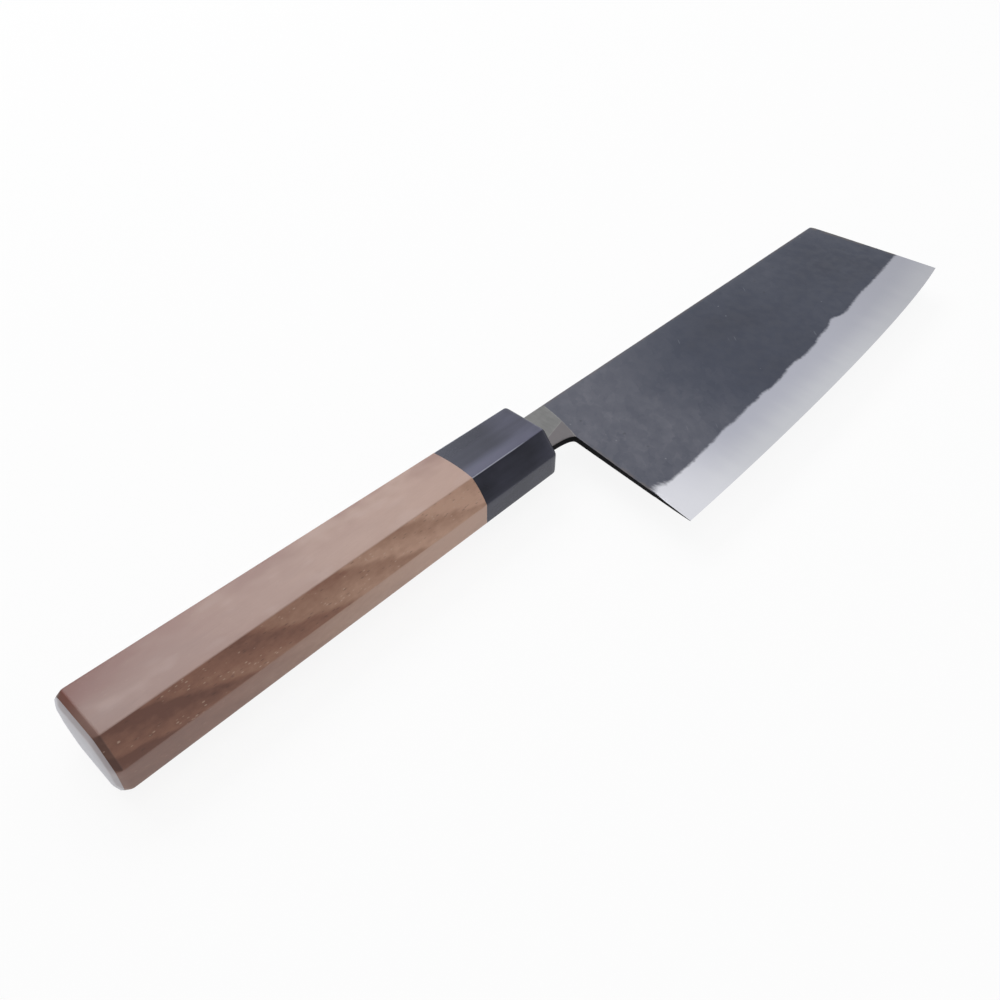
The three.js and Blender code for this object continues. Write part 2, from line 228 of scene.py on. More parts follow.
def octagon(x, inset):
    """Corners of the handle's tapered octagon at x, with every facet moved in, as Y and Z."""
    share = (x - FERRULE_BACK) / (-FERRULE_RIM - FERRULE_BACK)
    height, edge, side, width = back_sizes + share * (front_sizes - back_sizes)
    normal = np.array([width - edge, height - side])
    normal /= np.linalg.norm(normal)
    reach = normal @ (height, edge) - inset
    inner_edge = (reach - normal[0] * (height - inset)) / normal[1]
    inner_side = (reach - normal[1] * (width - inset)) / normal[0]
    quarter = np.array([(height - inset, inner_edge), (inner_side, width - inset)])
    turned = quarter[::-1]
    return np.concatenate([quarter, turned * (-1, 1), -quarter, turned * (1, -1)])


def bend(start, corner, end, count):
    """Points on a curve that rounds a corner off."""
    points = []
    for t in np.linspace(0, 1, count):
        points.append((1 - t) ** 2 * start + 2 * t * (1 - t) * corner + t**2 * end)
    return points


def rounding_end(corner, neighbour, setback):
    """Where a corner's rounding runs out, on the facet to its neighbour."""
    facet = neighbour - corner
    return corner + facet * min(setback / np.linalg.norm(facet), MOST_ROUNDED)


def octagon_ring(x, inset=0.0, bows=FLAT_RING, setback=FACET_SETBACK):
    """Points round the handle at x, with rounded corners. The facets' middles may bow forward."""
    corners = octagon(x, inset)
    points = []
    for k, corner in enumerate(corners):
        before, after = corners[k - 1], corners[(k + 1) % len(corners)]
        start = rounding_end(corner, before, setback)
        end = rounding_end(corner, after, setback)
        points += [(x, *point) for point in bend(start, corner, end, CORNER_STEPS + 1)]
        facet_end = rounding_end(after, corner, setback)
        for t in np.linspace(0, 1, FACET_STEPS + 1)[1:-1]:
            bow = 4 * t * (1 - t) * bows[k % len(bows)]
            points.append((x + bow, *(1 - t) * end + t * facet_end))
    return np.array(points)


def circle_ring(x, radius):
    """Round ring at x, with a point for each one of the octagon's."""
    ring = octagon_ring(x)
    ring[:, 1:] *= radius / np.linalg.norm(ring[:, 1:], axis=1)[:, None]
    return ring


def mouth_ring(x):
    """The ferrule's slot at x, with a point for each one of the octagon's."""
    ring = octagon_ring(x)
    ring[:, 1] = np.clip(ring[:, 1], seal_low.y, seal_high.y)
    ring[:, 2] = np.clip(ring[:, 2], seal_low.z, seal_high.z)
    return ring


def loft(rings, closed):
    """Mesh through rings with the same count of points, joined end to end or capped."""
    solid = bmesh.new()
    rows = [[solid.verts.new(point) for point in ring] for ring in rings]
    followers = rows[1:] + (rows[:1] if closed else [])
    for row, follower in zip(rows, followers):
        for k in range(len(row)):
            solid.faces.new((row[k - 1], row[k], follower[k], follower[k - 1]))
    if not closed:
        solid.faces.new(rows[0])
        solid.faces.new(rows[-1])
    bmesh.ops.remove_doubles(solid, verts=solid.verts, dist=JOIN_DISTANCE)
    bmesh.ops.recalc_face_normals(solid, faces=solid.faces)
    return solid


BORE_RADIUS = (dowel_high.y - dowel_low.y) / 2 + GLUE_GAP
bore_end = dowel_low.x - GLUE_GAP


def butt_profile():
    """X and inset of the frame's rings at the butt, from the chamfer's start to the end face."""
    points = points_in_mm("handle_wood")
    profile = []
    planes = {round(x, PLANE_DIGITS) for x in points[:, 0] if x < bore_end - BORE_MARGIN}
    for x in sorted(planes, reverse=True):
        ring = points[np.abs(points[:, 0] - x) < SAME_PLANE]
        profile.append((x, octagon(x, 0)[:, 1].max() - ring[:, 2].max()))
    return np.array(profile)


def butt_rings():
    """The butt's flat chamfer, the slope inside it and the domed end face."""
    profile = butt_profile()
    face = int(np.argmin(np.abs(profile[:, 0] - BUTT_END - BUTT_DOME)))
    chamfer_start, round_start, face_start, middle = profile[[0, 1, face, -1]]
    before_chamfer = chamfer_start + (RIM_ROUNDING, 0)
    on_chamfer = rounding_end(chamfer_start, round_start, RIM_ROUNDING)
    rim = bend(before_chamfer, chamfer_start, on_chamfer, CORNER_STEPS)
    rings = [octagon_ring(x, inset) for x, inset in rim]
    middle_of_slope = (round_start + face_start) / 2
    knee = np.array([
        middle_of_slope[0] + SLOPE_BULGE * (face_start[0] - middle_of_slope[0]),
        middle_of_slope[1],
    ])
    for x, inset in bend(round_start, knee, face_start, ROUND_STEPS):
        rings.append(octagon_ring(x, inset, setback=BUTT_SETBACK))
    for share in np.linspace(0, 1, ROUND_STEPS)[1:]:
        inset = face_start[1] + share * (middle[1] - face_start[1])
        x = face_start[0] - BUTT_DOME * (1 - (1 - share) ** 2)
        rings.append(octagon_ring(x, inset, setback=BUTT_SETBACK))
    return rings


CHAMFER_START, CHAMFER_END = butt_profile()[:2, 0]


def handle_wood(materials):
    """The wooden handle with its bore, from the joint to the butt."""
    rings = [circle_ring(bore_end, BORE_RADIUS), circle_ring(FERRULE_BACK, BORE_RADIUS)]
    rings.append(octagon_ring(FERRULE_BACK, bows=JOINT_BOWS))
    stations = np.linspace(FERRULE_BACK, CHAMFER_START + RIM_ROUNDING, HANDLE_STATIONS)
    rings += [octagon_ring(x) for x in stations[1:-1]]
    solid = loft(rings + butt_rings(), closed=False)
    for face in solid.faces:
        middle = face.calc_center_median().x
        if middle < CHAMFER_END:
            face.material_index = END_GRAIN
        elif middle < CHAMFER_START and abs(face.normal.z) > RIM_LEAN:
            face.material_index = SANDED_RIM
        else:
            face.material_index = SIDE_GRAIN
    add_piece("walnut_handle", solid, "handle_wood", materials, HANDLE_SHARP_ANGLE)


def ferrule(materials):
    """The ferrule with its bore, its slot and its rounded front rim."""
    rings = [mouth_ring(-MOUTH_DEPTH), circle_ring(-MOUTH_DEPTH, BORE_RADIUS)]
    rings += [circle_ring(FERRULE_BACK, BORE_RADIUS), octagon_ring(FERRULE_BACK, bows=JOINT_BOWS)]
    stations = np.linspace(FERRULE_BACK, -FRONT_ROUNDING, FERRULE_STATIONS)
    rings += [octagon_ring(x) for x in stations[1:-1]]
    for angle in np.linspace(0, math.pi / 2, FRONT_STEPS):
        x = -FRONT_ROUNDING * (1 - math.sin(angle))
        setback = FACET_SETBACK + math.sin(angle) * (FRONT_SETBACK - FACET_SETBACK)
        rings.append(octagon_ring(x, FRONT_ROUNDING * (1 - math.cos(angle)), setback=setback))
    rings.append(mouth_ring(0))
    add_piece("horn_ferrule", loft(rings, closed=True), "ferrule", materials)


# Blade


def line_of(points):
    """Points in order along the blade, as a column of X and a column of Y."""
    return np.array(sorted({tuple(np.round(point, POINT_DIGITS)) for point in points})).T


def crease_line():
    """Where the forged face turns into the ground bevel."""
    solid = cad_copy("upper_cladding")
    shallow = [e for e in solid.edges if FLAT_ANGLE < e.calc_face_angle(0) < CREASE_ANGLE]
    creases = [e for e in shallow if all(vertex.co.z > CORE_HALF + SAME_PLANE for vertex in e.verts)]
    line = line_of([vertex.co.xy for edge in creases for vertex in edge.verts])
    solid.free()
    return line


core_points = points_in_mm("core_steel")
EDGE_LINE = line_of(core_points[np.abs(core_points[:, 2]) < SAME_PLANE][:, :2])
HEEL = Vector(EDGE_LINE[:, 0])
TIP = Vector(EDGE_LINE[:, -1])
FRONT_TOP = Vector(max(core_points, key=lambda point: point[0] + UPWARDS * point[1])[:2])
CREASE_LINE = crease_line()


def above_line(line, x, y):
    """How far points lie above a line along the blade."""
    return y - np.interp(x, *line)


def before_weld(x, y):
    """How far points lie behind the weld, towards the handle."""
    along = (WELD_TOP.y - y) / (WELD_TOP.y - HEEL_TOP.y)
    return WELD_TOP.x + along * (HEEL_TOP.x - WELD_TOP.x) - x


def patch_depth(x, y):
    """How far points lie inside the neck's ground patch."""
    along = np.clip((WELD_TOP.y - y) / (WELD_TOP.y - HEEL_TOP.y), 0, 1)
    return before_weld(x, y) + PATCH_BULGE * np.sin(math.pi * along)


def to_heel(x, y):
    """How far points lie in front of the heel's end."""
    down = (HEEL_TOP.y - y) / (HEEL_TOP.y - HEEL.y)
    return x - HEEL_TOP.x - down * (HEEL.x - HEEL_TOP.x)


def rim_depth(x, y):
    """How far points lie inside the spine, the front edge and the heel."""
    across_front = (FRONT_TOP.y - y) / (FRONT_TOP.y - TIP.y)
    to_front = FRONT_TOP.x + across_front * (TIP.x - FRONT_TOP.x) - x
    along_spine = (x - WELD_TOP.x) / (FRONT_TOP.x - WELD_TOP.x)
    to_spine = WELD_TOP.y + along_spine * (FRONT_TOP.y - WELD_TOP.y) - y
    down_heel = HEEL_TOP.y - y
    in_front = np.where(down_heel > 0, to_heel(x, y), to_spine)
    return np.minimum(np.minimum(to_spine, to_front), in_front)


def bevel_shift(x):
    """How far the grinding reaches past the bevel's line."""
    return sum(shift * np.exp(-(((x - place) / reach) ** 2)) for place, reach, shift in BEVEL_WAVES)


def blade_columns():
    """Places of the cuts across the blade, from the heel to the tip."""
    return np.arange(EDGE_LINE[0].min() + CELL_ALONG, EDGE_LINE[0].max(), CELL_ALONG)


def blade_rows():
    """Places of the cuts along the blade, which are closer at the bevel's top."""
    low, high = CREASE_LINE[1].min() - FINE_BELOW, CREASE_LINE[1].max() + FINE_ABOVE
    fine = np.arange(low, high, CELL_AT_BEVEL)
    below = np.arange(low, EDGE_LINE[1].min(), -CELL_ACROSS)[1:]
    above = np.arange(high, WELD_TOP.y, CELL_ACROSS)
    return np.concatenate([below, fine, above])


def vertex_columns(solid):
    """X, Y and Z of a mesh's points, a column of each."""
    return np.array([vertex.co for vertex in solid.verts]).T


def hammer(solid, side):
    """Bends a cladding's face as a hammer leaves it. The grinding then cuts flat across it."""
    x, y, z = vertex_columns(solid)
    above = above_line(CREASE_LINE, x, y)
    shift = bevel_shift(x)
    bevel_slope = (BEVEL_HALF - CORE_HALF) / CORE_LINE_DROP - FACE_WEDGE
    spots = [Vector((a, b, LUMP_LAYER * side)) / LUMP_SIZE for a, b in zip(x, y)]
    lumps = LUMP_HEIGHT * np.array([noise.fractal(spot, *LUMP_FRACTAL) for spot in spots])
    lumps *= np.clip(-before_weld(x, y) / LUMP_FADE, 0, 1)
    near_bevel = np.exp(-((above / LUMP_FADE) ** 2))
    forged = near_bevel * bevel_slope * shift + (1 - near_bevel) * lumps
    ground = bevel_slope * above
    moved = np.minimum(forged, ground) - np.minimum(0, ground)
    outward = np.clip((np.abs(z) - CORE_HALF) / (BEVEL_HALF - CORE_HALF), 0, 1)
    for vertex, distance in zip(solid.verts, side * moved * outward):
        vertex.co.z += distance
    add_attribute(solid, "bevel", shift - above)
    add_attribute(solid, "from_edge", above_line(EDGE_LINE, x, y))
    add_attribute(solid, "patch", patch_depth(x, y))
    add_attribute(solid, "rim", rim_depth(x, y))
    add_attribute(solid, "heel", to_heel(x, y))


def darken_walls(solid):
    """The heel's end and the choil under it take the second material, the black wall, which is partly
    painted shade.
    """
    for face in solid.faces:
        outward = face.normal
        if outward.x < -STEEP or (outward.y < -STEEP and abs(outward.z) < STEEP):
            face.material_index = BLACK_WALL


def bevel_sizes():
    """Half thickness at the bevel's top by the heel, the core line's drop below it, the face's wedge."""
    points = points_in_mm("upper_cladding")
    outer = points[points[:, 2] > CORE_HALF + SAME_PLANE]
    crease = outer[np.abs(above_line(CREASE_LINE, outer[:, 0], outer[:, 1])) < SAME_PLANE]
    half = crease[np.argmin(crease[:, 0])]
    spine = outer[np.argmax(outer[:, 1])]
    core_line = points[np.argmin(points[:, 1])]
    return half[2], half[1] - core_line[1], (spine[2] - half[2]) / (spine[1] - half[1])


BEVEL_HALF, CORE_LINE_DROP, FACE_WEDGE = bevel_sizes()


def is_off_weld(edge):
    """Whether an edge lies clear of the weld's line."""
    middle = (edge.verts[0].co + edge.verts[1].co) / 2
    return abs(before_weld(middle.x, middle.y)) > AT_WELD


def cladding(name, node, side, materials):
    """One face of the blade, forged above and ground along the edge."""
    solid = cad_copy(node)

    def is_rounded(edge):
        is_outer = all(abs(vertex.co.z) > CORE_HALF + EDGE_ROUNDING for vertex in edge.verts)
        return is_outer and is_off_weld(edge)

    round_edges(solid, is_rounded)
    slice_up(solid, 0, blade_columns())
    slice_up(solid, 1, blade_rows())
    hammer(solid, side)
    darken_walls(solid)
    add_piece(name, solid, node, materials)


def core(materials):
    """The hard core, which is seen along the edge."""
    solid = cad_copy("core_steel")
    slice_up(solid, 0, blade_columns())
    slice_up(solid, 1, np.arange(EDGE_LINE[1].min() + CELL_FINE, CREASE_LINE[1].max(), CELL_FINE))
    x, y, _ = vertex_columns(solid)
    add_attribute(solid, "from_edge", above_line(EDGE_LINE, x, y))
    add_attribute(solid, "heel", to_heel(x, y))
    # The core's walls take the black wall, partly painted shade.
    for face in solid.faces:
        face.material_index = BLADE_FACE if abs(face.normal.z) > STEEP else BLACK_WALL
    add_piece("edge_steel", solid, "core_steel", materials)


def neck(materials):
    """The ground neck, with the tang that runs on into the handle."""
    solid = cad_copy("tang")

    def is_rounded(edge):
        is_neck = min(vertex.co.x for vertex in edge.verts) > -MOUTH_DEPTH - SAME_PLANE
        is_long = abs(edge.verts[0].co.z - edge.verts[1].co.z) < NECK_RISE
        return is_neck and is_long and is_off_weld(edge)

    round_edges(solid, is_rounded)
    slice_up(solid, 0, np.arange(-MOUTH_DEPTH, WELD_TOP.x, CELL_FINE))
    slice_up(solid, 1, np.arange(HEEL_TOP.y + CELL_FINE, WELD_TOP.y, CELL_FINE))
    x, y, _ = vertex_columns(solid)
    add_attribute(solid, "patch", patch_depth(x, y))
    add_attribute(solid, "rim", rim_depth(x, y))
    darken_walls(solid)
    add_piece("ground_neck", solid, "tang", materials)


# Materials

SPECK_MIDDLE = 0.3  # share of a speck's radius that is fully covered
# Places of a Mix node's two inputs and its output for each kind of data
MIX_SOCKETS = {"FLOAT": (2, 3, 0), "RGBA": (6, 7, 2)}


class Finish:
    """A procedural material, put together node by node in knife millimetres."""

    def __init__(self, name):
        self.material = bpy.data.materials.new(name)
        self.material.use_nodes = True
        self.tree = self.material.node_tree
        self.surface = self.tree.nodes["Principled BSDF"]
        coordinates = self.node("ShaderNodeTexCoord").outputs
        from_origin = self.vector("SUBTRACT", coordinates["Object"], ORIGIN)
        self.place = self.vector("MULTIPLY", from_origin, [1 / MM] * 3)
        self.x, self.y, self.z = self.node("ShaderNodeSeparateXYZ", Vector=self.place).outputs
        facing = self.node("ShaderNodeSeparateXYZ", Vector=coordinates["Normal"]).outputs[2]
        self.flatness = self.math("ABSOLUTE", facing)  # 1 where the surface faces up or down

    def node(self, kind, settings=(), **inputs):
        """A shader node with its settings, and with values or results on its inputs."""
        node = self.tree.nodes.new(kind)
        for setting, value in dict(settings).items():
            setattr(node, setting, value)
        for socket, value in inputs.items():
            self.feed(node.inputs[socket.replace("_", " ")], value)
        return node

    def feed(self, socket, value):
        """Puts a value or another node's result on a socket."""
        if isinstance(value, bpy.types.NodeSocket):
            self.tree.links.new(value, socket)
        else:
            socket.default_value = value

    def set(self, **inputs):
        """Values or results for the surface's own sockets."""
        for socket, value in inputs.items():
            self.feed(self.surface.inputs[socket.replace("_", " ")], value)

    def vector(self, operation, first, second):
        """A sum done on two places, axis by axis."""
        node = self.node("ShaderNodeVectorMath", {"operation": operation})
        self.feed(node.inputs[0], first)
        self.feed(node.inputs[1], second)
        return node.outputs[0]

    def math(self, operation, first, second=0.0):
        """A sum done on one or two numbers."""
        node = self.node("ShaderNodeMath", {"operation": operation})
        self.feed(node.inputs[0], first)
        self.feed(node.inputs[1], second)
        return node.outputs[0]

    def total(self, *terms):
        """Sum of (weight, result) pairs."""
        added = self.math("MULTIPLY", terms[0][1], terms[0][0])
        for weight, result in terms[1:]:
            added = self.math("ADD", added, self.math("MULTIPLY", result, weight))
        return added

    def span(self, value, low, high, to_low=0.0, to_high=1.0):
        """The value taken from one range to another, with soft ends."""
        node = self.node("ShaderNodeMapRange", {"interpolation_type": "SMOOTHSTEP"})
        for socket, number in zip(node.inputs, (value, low, high, to_low, to_high)):
            self.feed(socket, number)
        return node.outputs[0]

    def noise(self, sizes, detail=2.0, seed=0.0):
        """Noise from 0 to 1, about 0.5 on average, with lumps of these sizes along X, Y and Z."""
        place = self.vector("DIVIDE", self.place, sizes)
        node = self.node("ShaderNodeTexNoise", {"noise_dimensions": "4D"}, Vector=place, Detail=detail)
        self.feed(node.inputs["W"], seed)
        self.feed(node.inputs["Scale"], 1.0)
        return node.outputs[0]

    def swing(self, sizes, detail=2.0, seed=0.0):
        """The same noise about 0."""
        return self.math("SUBTRACT", self.noise(sizes, detail, seed), 0.5)

    def specks(self, sizes, radius, share, place=None):
        """Scattered specks, 1 in their middles, in a share of the cells of these sizes."""
        cell_place = self.vector("DIVIDE", place or self.place, sizes)
        cells = self.node("ShaderNodeTexVoronoi", Vector=cell_place, Scale=1.0)
        chosen = self.node("ShaderNodeSeparateColor", Color=cells.outputs["Color"]).outputs[0]
        inside = self.span(cells.outputs["Distance"], radius, radius * SPECK_MIDDLE)
        return self.math("MULTIPLY", inside, self.math("LESS_THAN", chosen, share))

    def attribute(self, name):
        """A number that the mesh carries at each of its points."""
        return self.node("ShaderNodeAttribute", {"attribute_name": name}).outputs["Fac"]

    def turn(self, kind, share, first, second):
        """One value turning into another of its kind, to a share."""
        node = self.node("ShaderNodeMix", {"data_type": kind})
        from_place, to_place, result = MIX_SOCKETS[kind]
        self.feed(node.inputs[0], share)
        self.feed(node.inputs[from_place], first)
        self.feed(node.inputs[to_place], second)
        return node.outputs[result]

    def mix(self, share, first, second):
        """One colour turning into another."""
        return self.turn("RGBA", share, first, second)

    def blend(self, share, first, second):
        """One number turning into another."""
        return self.turn("FLOAT", share, first, second)

    def ramp(self, value, stops):
        """Colour along a scale of (place, colour) stops."""
        node = self.node("ShaderNodeValToRGB", Fac=value)
        elements = node.color_ramp.elements
        while len(elements) < len(stops):
            elements.new(1.0)
        for element, (place, colour) in zip(elements, stops):
            element.position = place
            element.color = colour
        return node.outputs[0]

    def bump(self, height, depth):
        """Relief that is depth millimetres high where the height is 1."""
        node = self.node("ShaderNodeBump", Height=height, Distance=depth * MM, Strength=1.0)
        self.set(Normal=node.outputs[0])


def shade(red, green, blue):
    """A colour from its screen values, 0 to 255, by the screen's standard curve."""
    values = [channel / 255 for channel in (red, green, blue)]
    linear = [v / 12.92 if v <= 0.04045 else ((v + 0.055) / 1.055) ** 2.4 for v in values]
    return (*linear, 1.0)


RING_SPACING = 4.6
WOOD_COLOURS = [
    (0.0, shade(108, 67, 52)),
    (0.3, shade(143, 99, 79)),
    (0.55, shade(170, 130, 108)),
    (0.85, shade(200, 160, 138)),
]


def chamfer_flatness():
    """How far the handle's slanting facets face up, from 0 to 1."""
    height, edge, side, width = back_sizes
    return (height - side) / math.hypot(height - side, width - edge)


def wood_rings(wood, feather):
    """Place inside each growth ring, from 0 to 1, on rings that slant along the handle."""
    warp = wood.noise((60, 16, 16), seed=1.0)
    rings = wood.total((0.2, wood.x), (0.1, wood.y), (0.66, wood.z), (6.0, warp), (1.4, feather))
    return wood.math("FRACT", wood.math("DIVIDE", rings, RING_SPACING))


def by_facet(finish, slanting, edge, side):
    """A number for each kind of the handle's facets."""
    off_slant = finish.math("ABSOLUTE", finish.math("SUBTRACT", finish.flatness, chamfer_flatness()))
    straight = finish.blend(finish.span(finish.flatness, 0.45, 0.9), edge, side)
    return finish.blend(finish.span(off_slant, 0.1, 0.3), slanting, straight)


def wood_tone(wood, phase, feather, fibres, cut_rings):
    """How pale the wood is. The slanting facets show the growth rings most, and the front is palest."""
    late = wood.math("MULTIPLY", wood.span(phase, 0.1, 0.8), wood.span(phase, 1.0, 0.8))
    curl = wood.swing((2.6, 1.3, 1.3), detail=3.0, seed=21.0)
    blotches = wood.noise((26, 9, 9), detail=2.0, seed=4.0)
    along = wood.span(wood.x, BUTT_END - 6, FERRULE_BACK + 5)
    return wood.total(
        (by_facet(wood, 0.7, 0.8, 0.5), along),
        (by_facet(wood, -0.28, -0.04, -0.04), late),
        (-cut_rings, late),
        (by_facet(wood, 0.14, 0.06, 0.06), feather),
        (by_facet(wood, 0.3, 0.24, 0.24), blotches),
        (by_facet(wood, -0.1, -0.06, 0.0), 1.0),
        (by_facet(wood, 0.4, 0.2, 0.08), curl),
        (0.12, fibres),
    )


def wood_clouds(wood, colour):
    """A painted sheen of pinkish grey over the side and edge facets, pale clouds on the side facets, and
    a blush towards the spine that is darkest at the butt.
    """
    # Painted sheen: pinkish grey laid over the side facets, and a little over the edge facets, in place
    # of the lacquer's reflection.
    colour = wood.mix(by_facet(wood, 0.0, 0.1, 0.35), colour, shade(152, 131, 127))
    clouds = wood.noise((13, 7, 7), detail=2.0, seed=18.0)
    towards_spine = wood.math("MULTIPLY", wood.span(wood.y, -3, 7), by_facet(wood, 0.0, 0.0, 1.0))
    blush = wood.math("MULTIPLY", wood.span(clouds, 0.4, 0.65, 0.0, 0.75), towards_spine)
    colour = wood.mix(blush, colour, shade(136, 94, 82))
    light = wood.math("MULTIPLY", wood.span(clouds, 0.48, 0.3), by_facet(wood, 0.0, 0.1, 0.25))
    colour = wood.mix(light, colour, shade(182, 156, 146))
    at_butt = wood.span(wood.total((1.0, wood.x), (-12.0, clouds)), BUTT_END + 23, BUTT_END - 6)
    return wood.mix(wood.math("MULTIPLY", at_butt, towards_spine), colour, shade(112, 52, 36))


def wood_marks(wood, colour, phase, pores):
    """Painted shade on the rim's slanting facets, dark pores, and pale flecks where a growth ring starts.
    """
    # Painted shade: the butt's rim is darkened on the slanting facets only.
    on_rim = wood.span(wood.x, CHAMFER_START + 0.1, CHAMFER_START - 0.1)
    on_rim = wood.math("MULTIPLY", on_rim, by_facet(wood, 0.5, 0.0, 0.0))
    colour = wood.mix(on_rim, colour, shade(62, 40, 32))
    in_pores = wood.math("MULTIPLY", pores, by_facet(wood, 0.4, 0.08, 0.05))
    colour = wood.mix(in_pores, colour, shade(66, 42, 34))
    flecks = wood.specks((1.6, 0.6, 0.6), 0.3, wood.span(phase, 0.4, 0.05, 0.1, 0.9))
    flecks = wood.math("MULTIPLY", flecks, by_facet(wood, 0.6, 0.15, 0.05))
    return wood.mix(flecks, colour, shade(204, 176, 156))


def walnut(name, painted_reflection=None, cut_rings=0.0, **gloss):
    """Brown wood with slanting growth rings.

    A painted reflection is a pale colour and its share, laid over the whole of the wood's colour. A cut
    across the wood shows its rings on every facet."""
    wood = Finish(name)
    feather = wood.noise((12, 1.6, 1.6), detail=4.0, seed=2.0)
    phase = wood_rings(wood, feather)
    fibres = wood.noise((9, 0.35, 0.35), detail=3.0, seed=3.0)
    pores = wood.specks((2.4, 0.6, 0.6), 0.3, wood.span(phase, 0.2, 0.9, 0.2, 0.7))
    colour = wood.ramp(wood_tone(wood, phase, feather, fibres, cut_rings), WOOD_COLOURS)
    colour = wood_clouds(wood, colour)
    colour = wood_marks(wood, colour, phase, pores)
    # Painted reflection: a pale colour mixed over the wood to its share.
    if painted_reflection:
        painted_reflection_colour, painted_reflection_share = painted_reflection
        colour = wood.mix(painted_reflection_share, colour, painted_reflection_colour)
    wood.set(Base_Color=colour, Roughness=wood.span(fibres, 0.2, 0.8, 0.42, 0.48), **gloss)
    wood.bump(wood.total((1.0, fibres), (-1.0, pores)), 0.004)
    return wood.material


def horn():
    """Polished black horn with streaks and clouds. Its side facets carry painted highlights, paler
    towards the front, along their lower edge and on their rounded edges, and its slanting facets carry
    painted shade towards the back.
    """
    black = Finish("black_horn")
    streaks = black.noise((22, 2.5, 2.5), detail=2.0, seed=5.0)
    clouds = black.noise((12, 7, 7), seed=6.0)
    # Painted highlight: the side facets are paler along their lower edge towards the back, broken up by
    # clouds, and paler towards the front; other facets keep only a little of it.
    towards_back = black.span(black.x, -2, -20, 0.5, 1.0)
    low_edge = black.math("MULTIPLY", black.span(black.y, -1, -6.5), towards_back)
    low_edge = black.math("MULTIPLY", low_edge, black.span(clouds, 0.3, 0.65, 0.7, 1.1))
    pale = black.total((0.6, low_edge), (0.22, black.span(black.x, -16, -4)))
    pale = black.math("MULTIPLY", pale, black.span(black.flatness, 0.7, 0.95, 0.15, 1.0))
    tone = black.total((0.22, streaks), (0.22, clouds), (1.0, pale))
    # Painted shade: the slanting facets are darker from just behind the front towards the back.
    slant_painted_shade = black.math("MULTIPLY", black.span(black.x, -2, -9), by_facet(black, 1.0, 0.0, 0.0))
    darkest = black.mix(slant_painted_shade, shade(28, 29, 37), shade(14, 14, 17))
    colour = black.mix(black.span(tone, 0.12, 0.8), darkest, shade(90, 90, 108))
    # Painted highlight: a pale line on the rounded edges between the side and the slanting facets,
    # towards the back.
    slant = chamfer_flatness()
    off_slant = black.span(black.flatness, slant + 0.06, slant + 0.14)
    on_edge = black.math("MULTIPLY", off_slant, black.span(black.flatness, 0.99, 0.95))
    painted_edge_highlight = black.math("MULTIPLY", on_edge, black.span(black.x, -5, -14, 0.0, 0.6))
    black.set(
        Base_Color=black.mix(painted_edge_highlight, colour, shade(190, 192, 205)),
        Roughness=black.span(streaks, 0.2, 0.8, 0.25, 0.27),
        Specular_IOR_Level=0.53,
        Specular_Tint=(0.78, 0.81, 1.0, 1.0),
    )
    black.bump(black.noise((20, 9, 9), detail=0.0, seed=7.0), 0.006)
    return black.material


SCRATCH_SLANT = math.radians(-50)
SCALE_COLOURS = [
    (0.15, shade(38, 43, 60)),
    (0.3, shade(48, 54, 72)),
    (0.55, shade(85, 87, 99)),
    (0.8, shade(117, 116, 126)),
]


def slanted(scale):
    """Places turned so that X runs along the strokes across the blade."""
    turned = scale.node("ShaderNodeVectorRotate", {"rotation_type": "Z_AXIS"}, Vector=scale.place)
    turned.inputs["Angle"].default_value = SCRATCH_SLANT
    return turned.outputs[0]


def scratches(scale):
    """Short straight strokes that slant across the blade."""
    strokes = scale.specks((14, 1.6, 1.6), 0.13, 0.14, slanted(scale))
    return scale.math("MULTIPLY", strokes, 0.5)


def flakes(scale, sizes):
    """Leaf-shaped patches with a random shade each, from 0 to 1."""
    ripple = scale.node("ShaderNodeTexNoise", Vector=scale.place, Scale=0.5, Detail=3.0).outputs["Color"]
    wavy = scale.vector("ADD", slanted(scale), scale.vector("MULTIPLY", ripple, [2.5] * 3))
    cells = scale.node("ShaderNodeTexVoronoi", Vector=scale.vector("DIVIDE", wavy, sizes), Scale=1.0)
    return scale.node("ShaderNodeSeparateColor", Color=cells.outputs["Color"]).outputs[1]


def scale_colour(scale):
    """Black forge scale and its mottle: slate grey with pits and rubs, paler and livelier by the heel."""
    near_heel = scale.span(scale.x, 85, 12)
    rim = scale.attribute("rim")
    at_spine = scale.span(rim, 16, 0)
    clouds = scale.noise((34, 20, 20), detail=2.0, seed=8.0)
    mottle = scale.noise((3.2, 3.2, 3.2), detail=5.0, seed=9.0)
    leaves = scale.total((0.5, flakes(scale, (7, 3.2, 3.2))), (0.5, flakes(scale, (3.6, 1.7, 1.7))))
    patchy = scale.total((0.3, leaves), (0.7, mottle))
    lively = scale.math("MULTIPLY", scale.span(near_heel, 0.0, 1.0, 0.16, 0.4), patchy)
    dents = scale.swing((9, 7, 7), detail=1.0, seed=20.0)
    by_neck = scale.span(scale.attribute("patch"), -16, -1)
    tone = scale.total(
        (0.3, clouds),
        (1.0, lively),
        (0.16, near_heel),
        (0.16, scale.math("MULTIPLY", near_heel, dents)),
        (-0.06, by_neck),
        (0.04, at_spine),
        (0.04, 1.0),
    )
    colour = scale.ramp(tone, SCALE_COLOURS)
    on_rim = scale.span(rim, 1.2, 0.1)
    worn = scale.math("MULTIPLY", on_rim, scale.span(mottle, 0.35, 0.6))
    colour = scale.mix(scale.math("MULTIPLY", worn, 0.55), colour, shade(104, 96, 90))
    pits = scale.specks((3.4, 3.4, 3.4), 0.11, 0.1)
    dark_pits = scale.specks((4.2, 4.2, 4.2), 0.16, 0.12)
    pale = scale.math("MAXIMUM", pits, scratches(scale))
    colour = scale.mix(scale.math("MULTIPLY", pale, 0.4), colour, shade(150, 152, 160))
    colour = scale.mix(scale.math("MULTIPLY", dark_pits, 0.4), colour, shade(36, 38, 44))
    return colour, mottle


HEEL_RIM = 0.4  # dark scale that the heel's end leaves on the bevel's corner


